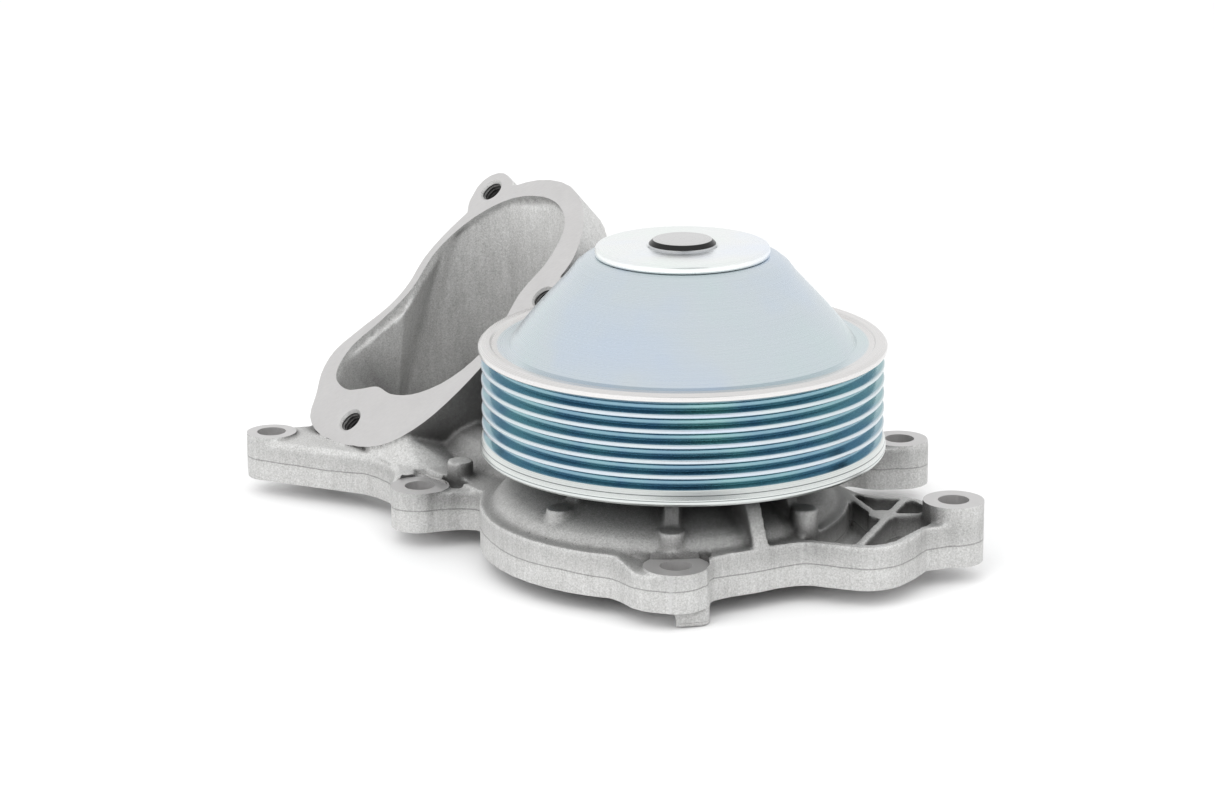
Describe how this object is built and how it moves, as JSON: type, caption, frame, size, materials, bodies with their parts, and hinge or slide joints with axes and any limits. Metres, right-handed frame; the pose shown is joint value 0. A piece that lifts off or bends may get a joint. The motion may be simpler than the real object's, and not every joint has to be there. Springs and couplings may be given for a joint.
{
  "type": "automotive water pump",
  "caption": "Automotive coolant pump: die-cast housing with tilted duct neck and mounting bosses, ribbed belt pulley on a sealed bearing shaft, mechanical seal and impeller.",
  "frame": {"origin": "centre of the shaft's rear end face, which lies in the plane that bolts against the engine", "axes": "+Z along the shaft from the engine towards the pulley, +X towards the tall single boss on the right-hand arm, -Y towards the front boss with the locating tongue; the duct neck leans out over -X +Y"},
  "size_m": [0.183, 0.1679, 0.0787],
  "materials": {
    "cast_aluminium": "matte",
    "zinc_plated_steel": "satin",
    "ground_steel": "satin",
    "bearing_steel": "polished",
    "stainless_steel": "satin",
    "rubber": "matte",
    "carbon": "matte",
    "ceramic": "satin",
    "cage_plastic": "satin",
    "impeller_plastic": "satin",
    "brass": "satin"
  },
  "bodies": {
    "pump_body": {"housing": "cast_aluminium", "face_gasket": "rubber", "bearing_outer_ring": "bearing_steel", "bearing_seal_rear": "rubber", "bearing_seal_front": "rubber", "seal_cup": "stainless_steel", "seal_bellows": "rubber", "seal_spring": "stainless_steel", "seal_retainer": "stainless_steel", "carbon_ring": "carbon"},
    "rotor": {"shaft": "ground_steel", "pulley": "zinc_plated_steel", "pulley_hub": "zinc_plated_steel", "impeller": "impeller_plastic", "impeller_bush": "brass", "seal_seat": "ceramic", "seat_sleeve": "rubber"},
    "ball_set": {"ball_cage": "cage_plastic", "ball_1": "bearing_steel", "ball_2": "bearing_steel", "ball_3": "bearing_steel", "ball_4": "bearing_steel", "ball_5": "bearing_steel", "ball_6": "bearing_steel", "ball_7": "bearing_steel", "ball_8": "bearing_steel"},
    "roller_set": {"roller_cage": "cage_plastic", "roller_1": "bearing_steel", "roller_2": "bearing_steel", "roller_3": "bearing_steel", "roller_4": "bearing_steel", "roller_5": "bearing_steel", "roller_6": "bearing_steel", "roller_7": "bearing_steel", "roller_8": "bearing_steel", "roller_9": "bearing_steel", "roller_10": "bearing_steel"}
  },
  "joints": [
    {"name": "shaft_spin", "type": "hinge", "parent": "pump_body", "child": "rotor", "pos_m": [0, 0, 0.03], "axis": [0, 0, 1], "continuous": true},
    {"name": "ball_cage_spin", "type": "hinge", "parent": "pump_body", "child": "ball_set", "pos_m": [0, 0, 0.054], "axis": [0, 0, 1], "continuous": true},
    {"name": "roller_cage_spin", "type": "hinge", "parent": "pump_body", "child": "roller_set", "pos_m": [0, 0, 0.036], "axis": [0, 0, 1], "continuous": true}
  ],
  "couplings": [
    {"joint": "ball_cage_spin", "follows": "shaft_spin", "ratio": 0.35},
    {"joint": "roller_cage_spin", "follows": "shaft_spin", "ratio": 0.38}
  ]
}
